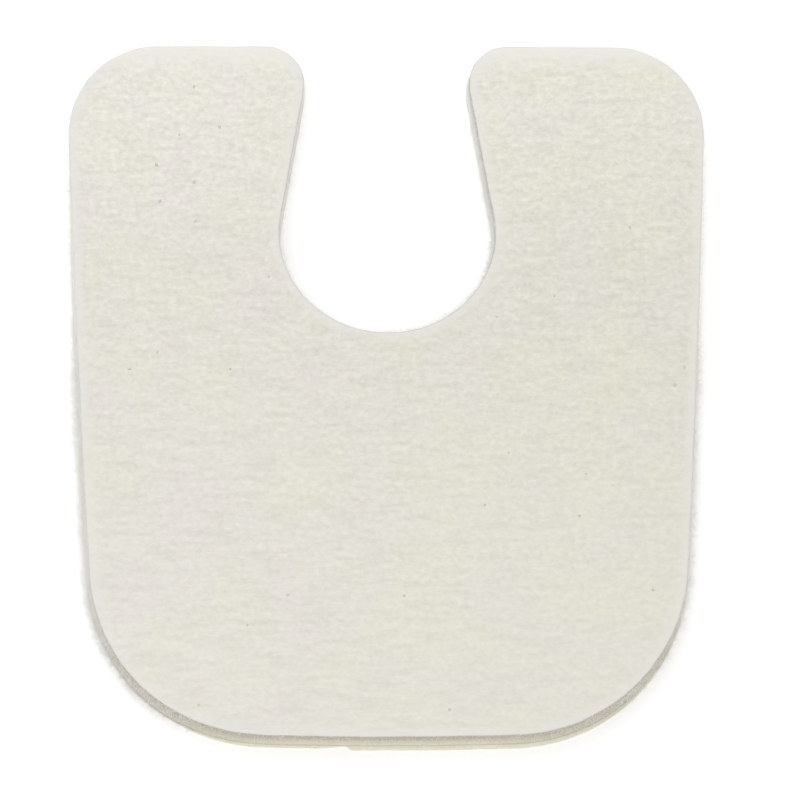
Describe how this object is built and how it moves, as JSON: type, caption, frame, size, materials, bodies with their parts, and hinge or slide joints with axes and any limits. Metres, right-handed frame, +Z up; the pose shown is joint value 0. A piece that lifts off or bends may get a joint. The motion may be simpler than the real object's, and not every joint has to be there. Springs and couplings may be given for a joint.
{
  "type": "adhesive callus pad",
  "caption": "Flat U-shaped felt pad with a deep rounded notch open at one end, an adhesive underside and a paper release liner.",
  "frame": {"origin": "on the surface that the pad lies on, under the middle of its bounding box", "axes": "+Z up out of the felt face, +Y towards the open mouth of the notch, +X across the pad"},
  "size_m": [0.048, 0.053, 0.0034],
  "materials": {
    "felt": "matte needled felt, cream white",
    "adhesive": "thin tan pressure-sensitive adhesive",
    "liner": "siliconed release paper, pale straw"
  },
  "bodies": {
    "root": {"felt_pad": "felt", "adhesive_film": "adhesive", "release_liner": "liner"}
  },
  "joints": []
}
